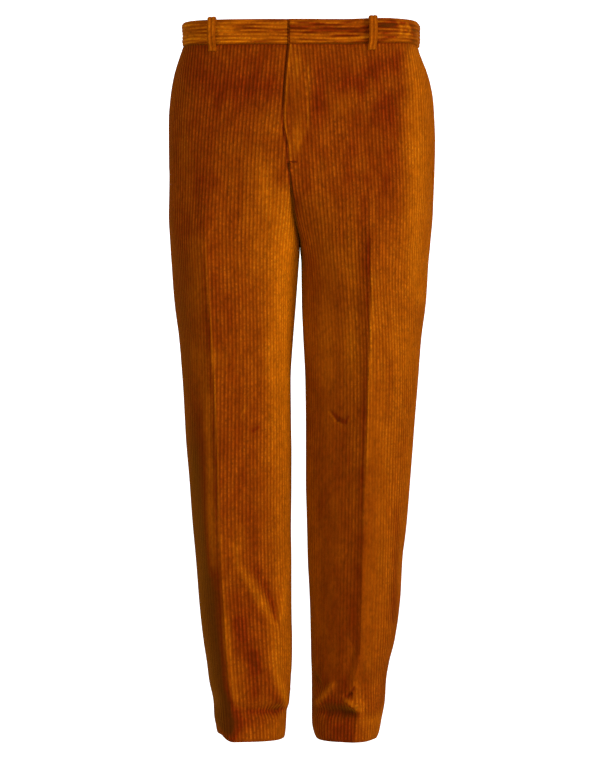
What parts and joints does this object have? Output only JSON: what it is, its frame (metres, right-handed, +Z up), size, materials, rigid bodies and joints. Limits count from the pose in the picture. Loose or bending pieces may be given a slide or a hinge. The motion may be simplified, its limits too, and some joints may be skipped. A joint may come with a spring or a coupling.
{
  "type": "corduroy trousers",
  "caption": "Straight-leg wide-wale corduroy trousers, filled out as if worn, with a waistband, belt loops, lapped fly, side pockets, pressed creases and turned-up hems.",
  "frame": {"origin": "the middle of the waist opening, level with the waistband's top edge, where the wearer holds the trousers up", "axes": "+Z up, the front faces -Y, +X is the wearer's left"},
  "size_m": [0.3989, 0.2611, 1.0667],
  "materials": {
    "corduroy": "wide-wale cotton corduroy, rust orange, soft sheen on the ribs",
    "corduroy_facing": "the same corduroy behind the pocket mouths, in shade"
  },
  "bodies": {
    "root": {"front_right": "corduroy", "front_left": "corduroy", "back_right": "corduroy", "back_left": "corduroy", "waistband_right": "corduroy", "waistband_left": "corduroy", "pocket_facing_right": "corduroy_facing", "pocket_facing_left": "corduroy_facing", "belt_loop_front_right": "corduroy", "belt_loop_front_left": "corduroy", "belt_loop_back_right": "corduroy", "belt_loop_back_left": "corduroy", "belt_loop_back_centre": "corduroy"}
  },
  "joints": []
}
